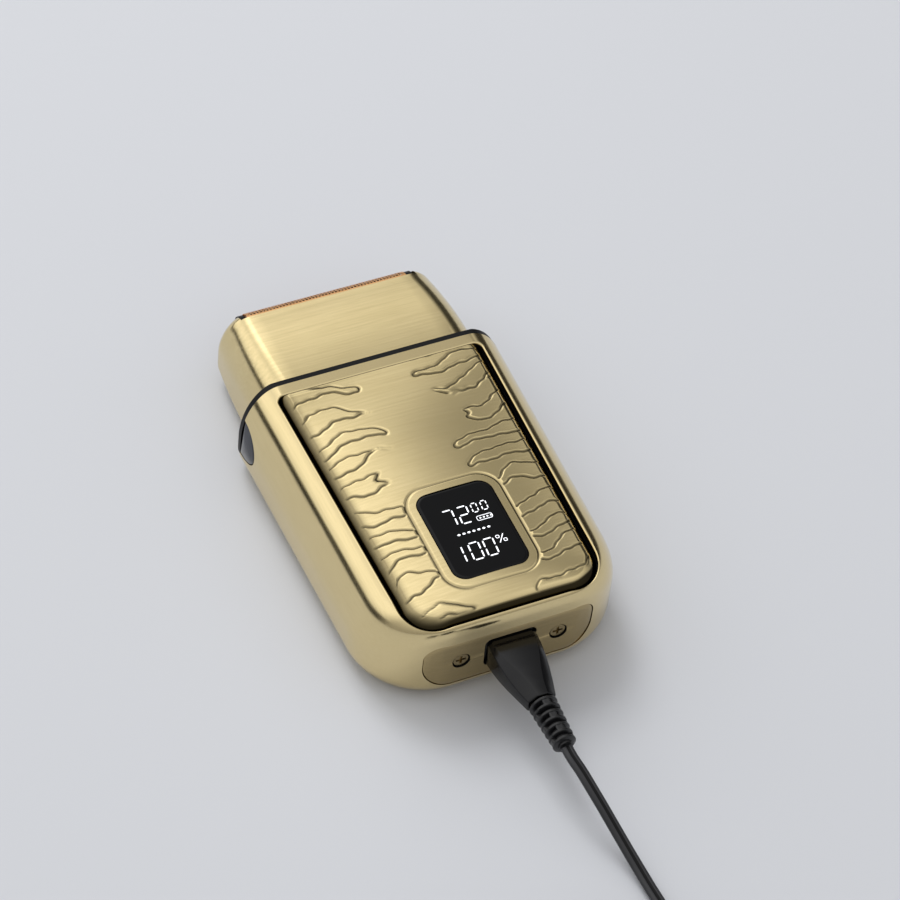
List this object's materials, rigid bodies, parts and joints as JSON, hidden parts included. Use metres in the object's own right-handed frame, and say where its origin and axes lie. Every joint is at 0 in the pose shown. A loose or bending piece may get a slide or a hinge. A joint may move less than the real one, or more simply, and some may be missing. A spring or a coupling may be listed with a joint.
{
  "type": "foil shaver",
  "caption": "Flat rounded electric foil shaver lying on its back, with a framed front panel, a display window, a lift-off foil head and a plugged-in charging lead.",
  "frame": {"origin": "under the middle of the shaver, on the surface that its back lies on", "axes": "+X across the width, +Y towards the shaving head, +Z out of the front face"},
  "size_m": [0.089, 0.2228, 0.0263],
  "materials": {
    "gold_shell": "satin brushed champagne gold",
    "copper_foil": "perforated copper-gold sheet",
    "gloss_window": "polished black window",
    "black_moulding": "fine satin black",
    "grey_button": "satin dark grey",
    "white_nylon": "natural white nylon",
    "steel": "bright steel",
    "dark_screw": "black zinc",
    "board": "green laminate",
    "cell_sleeve": "blue shrink sleeve",
    "cord_rubber": "satin black elastomer"
  },
  "bodies": {
    "body": {"main_housing": "gold_shell", "front_panel": "gold_shell", "display_lens": "gloss_window", "display_module": "black_moulding", "end_plate": "gold_shell", "end_screw_left": "dark_screw", "end_screw_right": "dark_screw", "inner_frame": "black_moulding", "circuit_board": "board", "tact_switch": "black_moulding", "charge_socket": "black_moulding", "battery_cell": "cell_sleeve", "motor_can": "steel", "motor_screw_left": "dark_screw", "motor_screw_right": "dark_screw", "drive_guide": "black_moulding", "collar_ring": "black_moulding"},
    "rotor": {"motor_shaft": "steel", "drive_cams": "white_nylon"},
    "drive_front": {"drive_yoke_front": "white_nylon", "cutter_spring_front": "steel"},
    "drive_rear": {"drive_yoke_rear": "white_nylon", "cutter_spring_rear": "steel"},
    "cutter_front": {"cutter_carrier_front": "black_moulding", "cutter_block_front": "steel"},
    "cutter_rear": {"cutter_carrier_rear": "black_moulding", "cutter_block_rear": "steel"},
    "head": {"head_cover": "gold_shell", "foil_frame": "black_moulding", "foil_front": "copper_foil", "foil_rear": "copper_foil"},
    "release_left": {"release_button_left": "grey_button", "release_spring_left": "steel"},
    "release_right": {"release_button_right": "grey_button", "release_spring_right": "steel"},
    "power": {"power_button": "black_moulding"},
    "lead": {"charge_plug": "black_moulding", "plug_boot": "cord_rubber", "charge_cord": "cord_rubber", "cord_coil": "cord_rubber", "cord_tail": "cord_rubber", "cord_tie": "black_moulding", "usb_grip": "black_moulding", "usb_shell": "steel", "usb_tongue": "black_moulding"}
  },
  "joints": [
    {"name": "head_lift", "type": "slide", "parent": "body", "child": "head", "axis": [0, 1, 0], "range_m": [0, 0.022]},
    {"name": "motor_spin", "type": "hinge", "parent": "body", "child": "rotor", "pos_m": [0, 0.025, 0.011], "axis": [0, 1, 0], "continuous": true},
    {"name": "cutter_swing_front", "type": "slide", "parent": "body", "child": "drive_front", "axis": [1, 0, 0], "range_m": [-0.0007, 0.0007]},
    {"name": "cutter_swing_rear", "type": "slide", "parent": "body", "child": "drive_rear", "axis": [1, 0, 0], "range_m": [-0.0007, 0.0007]},
    {"name": "cutter_float_front", "type": "slide", "parent": "drive_front", "child": "cutter_front", "axis": [0, -1, 0], "range_m": [0, 0.0012], "stiffness_N_per_m": 400, "springref_m": -0.001, "deforming": ["cutter_spring_front"]},
    {"name": "cutter_float_rear", "type": "slide", "parent": "drive_rear", "child": "cutter_rear", "axis": [0, -1, 0], "range_m": [0, 0.0012], "stiffness_N_per_m": 400, "springref_m": -0.001, "deforming": ["cutter_spring_rear"]},
    {"name": "release_press_left", "type": "slide", "parent": "body", "child": "release_left", "axis": [1, 0, 0], "range_m": [0, 0.0012], "stiffness_N_per_m": 900, "springref_m": -0.0006, "deforming": ["release_spring_left"]},
    {"name": "release_press_right", "type": "slide", "parent": "body", "child": "release_right", "axis": [-1, 0, 0], "range_m": [0, 0.0012], "stiffness_N_per_m": 900, "springref_m": -0.0006, "deforming": ["release_spring_right"]},
    {"name": "power_press", "type": "slide", "parent": "body", "child": "power", "axis": [0, 0, 1], "range_m": [0, 0.0004], "stiffness_N_per_m": 2500, "springref_m": -0.0004},
    {"name": "plug_pull", "type": "slide", "parent": "body", "child": "lead", "axis": [0, -1, 0], "range_m": [0, 0.008]}
  ],
  "couplings": [
    {"joint": "cutter_swing_rear", "follows": "cutter_swing_front", "ratio": -1}
  ]
}
